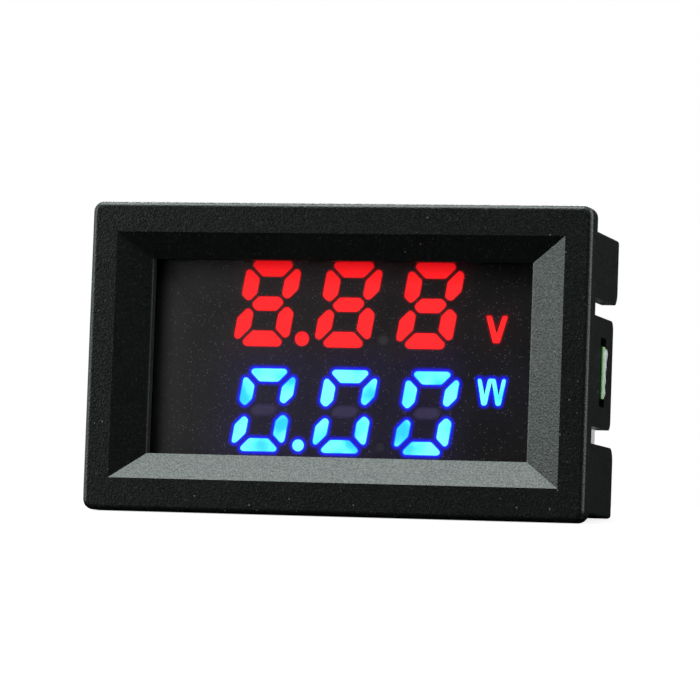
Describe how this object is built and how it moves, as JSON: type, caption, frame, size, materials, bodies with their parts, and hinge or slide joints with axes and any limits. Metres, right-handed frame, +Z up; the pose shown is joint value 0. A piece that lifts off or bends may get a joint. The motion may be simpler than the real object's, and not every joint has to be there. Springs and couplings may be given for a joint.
{
  "type": "digital panel meter",
  "caption": "Snap-in panel meter: black bezel with a sloped window, red and blue LED digit rows marked V and W, sleeve with snap tongues, circuit board behind.",
  "frame": {"origin": "centre of the panel plane, where the back of the bezel rests on the panel", "axes": "+X to the right of the face, +Y into the panel, +Z up"},
  "size_m": [0.048, 0.0215, 0.029],
  "materials": {
    "black_moulding": "fine spark texture",
    "smoked_sheet": "smoked, glossy",
    "display_face": "satin",
    "lit_red": "lit",
    "lit_blue": "lit",
    "unlit_fill": "diffusing",
    "base_board": "satin",
    "die": "satin",
    "tinned_metal": "tinned",
    "green_board": "solder mask",
    "chip_black": "moulded",
    "shunt_alloy": "drawn",
    "header_white": "moulded",
    "trimmer_blue": "moulded",
    "rotor_brass": "stamped",
    "ceramic_tan": "sintered",
    "adhesive": "cured"
  },
  "bodies": {
    "meter": {"housing": "black_moulding", "filter_window": "smoked_sheet", "display_shell": "display_face", "red_digit_left": "lit_red", "red_digit_middle": "lit_red", "red_digit_right": "lit_red", "volt_mark": "lit_red", "blue_digit_left": "lit_blue", "blue_digit_middle": "lit_blue", "blue_digit_right": "lit_blue", "watt_mark": "lit_blue", "unlit_segments": "unlit_fill", "display_base": "base_board", "red_led_chips": "die", "blue_led_chips": "die", "display_pins": "tinned_metal", "chip_leads": "tinned_metal", "chip_terminals": "tinned_metal", "supply_pins": "tinned_metal", "load_pins": "tinned_metal", "circuit_board": "green_board", "controller_chip": "chip_black", "driver_chip": "chip_black", "amplifier_chip": "chip_black", "regulator_chip": "chip_black", "input_diode": "chip_black", "chip_resistors": "chip_black", "shunt_wire": "shunt_alloy", "supply_header": "header_white", "load_header": "header_white", "voltage_trimmer_body": "trimmer_blue", "current_trimmer_body": "trimmer_blue", "chip_capacitors": "ceramic_tan", "adhesive_bead": "adhesive"},
    "voltage_rotor": {"voltage_trimmer_rotor": "rotor_brass"},
    "current_rotor": {"current_trimmer_rotor": "rotor_brass"}
  },
  "joints": [
    {"name": "voltage_trim", "type": "hinge", "parent": "meter", "child": "voltage_rotor", "pos_m": [-0.0178, 0.0133, 0.0087], "axis": [0, -1, 0], "range_deg": [-120, 120]},
    {"name": "current_trim", "type": "hinge", "parent": "meter", "child": "current_rotor", "pos_m": [-0.0124, 0.0133, 0.0087], "axis": [0, -1, 0], "range_deg": [-120, 120]}
  ]
}
